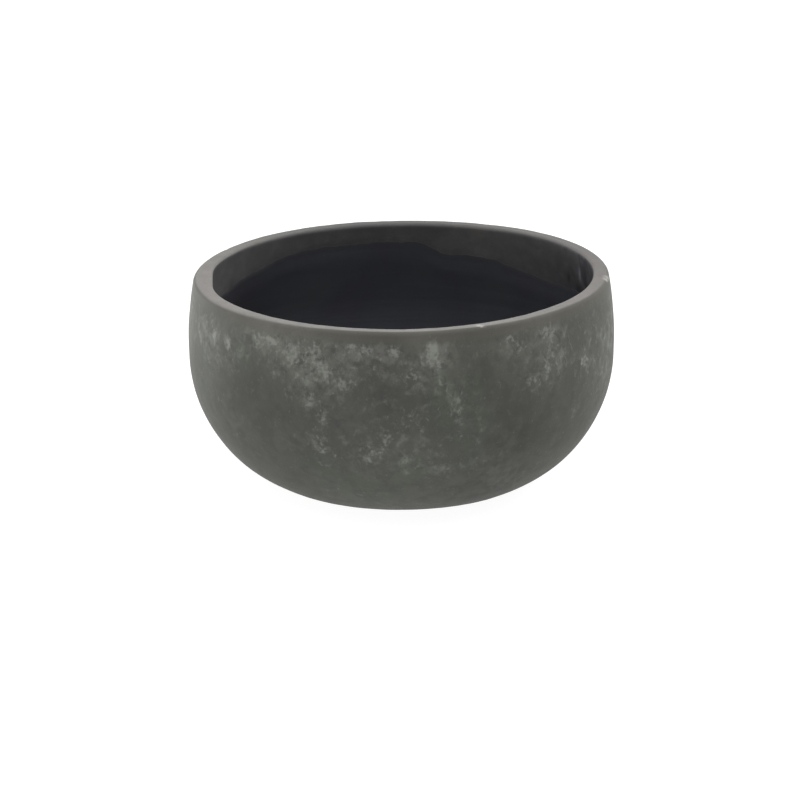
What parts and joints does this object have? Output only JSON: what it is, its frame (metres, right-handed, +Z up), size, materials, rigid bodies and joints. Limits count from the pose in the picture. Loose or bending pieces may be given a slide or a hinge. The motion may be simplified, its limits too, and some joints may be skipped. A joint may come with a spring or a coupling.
{
  "type": "bowl planter",
  "caption": "Low round planter bowl of cast cement with a drawn-in rim, a flat foot, a black waterproof coating inside and felt pads underneath.",
  "frame": {"origin": "on the ground at the middle of the foot, on the bowl's axis", "axes": "+Z is up along the bowl's axis; +Y points away from the picture's viewpoint and +X to its right"},
  "size_m": [0.31, 0.31, 0.15],
  "materials": {
    "cast_cement": "matte dark grey cement with a pale scuffed bloom and a lighter tan-grey rim",
    "black_sealer": "brushed near-black coating with a low satin sheen",
    "felt": "pressed charcoal felt"
  },
  "bodies": {
    "root": {"bowl_shell": "cast_cement", "waterproof_coating": "black_sealer", "foot_pad_1": "felt", "foot_pad_2": "felt", "foot_pad_3": "felt", "foot_pad_4": "felt"}
  },
  "joints": []
}
